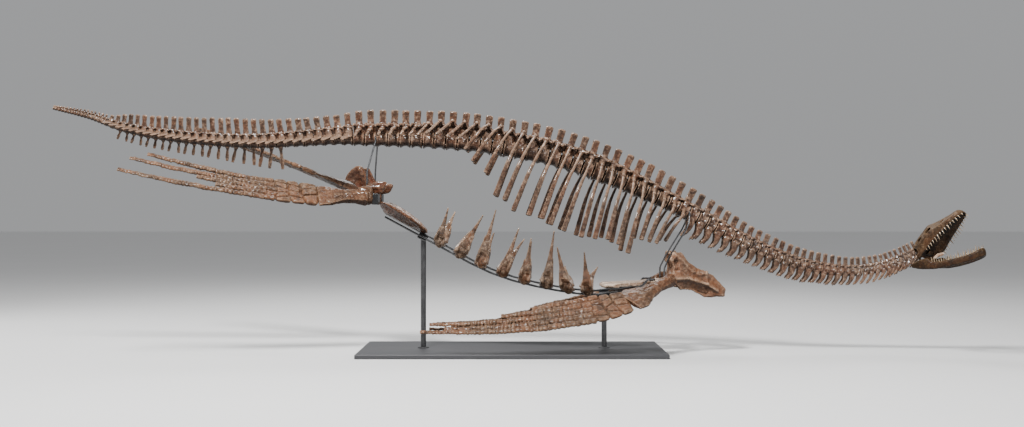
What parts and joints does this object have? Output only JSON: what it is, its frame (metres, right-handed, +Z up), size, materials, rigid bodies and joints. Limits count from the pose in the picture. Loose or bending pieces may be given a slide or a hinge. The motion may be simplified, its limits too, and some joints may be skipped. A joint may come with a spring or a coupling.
{
  "type": "mounted plesiosaur skeleton",
  "caption": "Life-size mounted skeleton of a long-necked plesiosaur in a swimming pose, jaws open, on belly rails over a plain display stand.",
  "frame": {"origin": "on the floor, at the centre of the stand base's underside", "axes": "+X towards the head, +Y to the animal's left, +Z up"},
  "size_m": [6.3537, 1.6158, 1.7295],
  "materials": {
    "spine_bone": "varnished mineralised bone",
    "skull_bone": "varnished mineralised bone",
    "girdle_bone": "varnished mineralised bone",
    "paddle_bone": "varnished mineralised bone",
    "belly_bone": "varnished mineralised bone",
    "steel_rod": "black painted steel",
    "hip_steel": "black painted steel",
    "stand_paint": "satin black paint"
  },
  "bodies": {
    "root": {"ribcage_left": "spine_bone", "ribcage_right": "spine_bone", "neck_rear": "spine_bone", "neck_middle": "spine_bone", "neck_front": "spine_bone", "tail_root": "spine_bone", "tail_middle": "spine_bone", "tail_tip": "spine_bone", "skull": "skull_bone", "mandible": "skull_bone", "scapula_left": "girdle_bone", "scapula_right": "girdle_bone", "coracoid_left": "girdle_bone", "coracoid_right": "girdle_bone", "pubis_left": "girdle_bone", "pubis_right": "girdle_bone", "ischium_left": "girdle_bone", "ischium_right": "girdle_bone", "ilium_left": "girdle_bone", "ilium_right": "girdle_bone", "humerus_left": "paddle_bone", "humerus_right": "paddle_bone", "femur_left": "paddle_bone", "femur_right": "paddle_bone", "flipper_front_left": "paddle_bone", "flipper_front_right": "paddle_bone", "flipper_hind_left": "paddle_bone", "flipper_hind_right": "paddle_bone", "gastralia_1": "belly_bone", "gastralia_2": "belly_bone", "gastralia_3": "belly_bone", "gastralia_4": "belly_bone", "gastralia_5": "belly_bone", "gastralia_6": "belly_bone", "gastralia_7": "belly_bone", "gastralia_8": "belly_bone", "belly_rail_left": "steel_rod", "belly_rail_right": "steel_rod", "hanger_chest_left": "steel_rod", "hanger_chest_right": "steel_rod", "hanger_pelvis_left": "steel_rod", "hanger_pelvis_right": "steel_rod", "hip_block_left": "hip_steel", "hip_block_right": "hip_steel", "stand_base": "stand_paint", "stand_post_front": "stand_paint", "stand_post_rear": "stand_paint"}
  },
  "joints": []
}
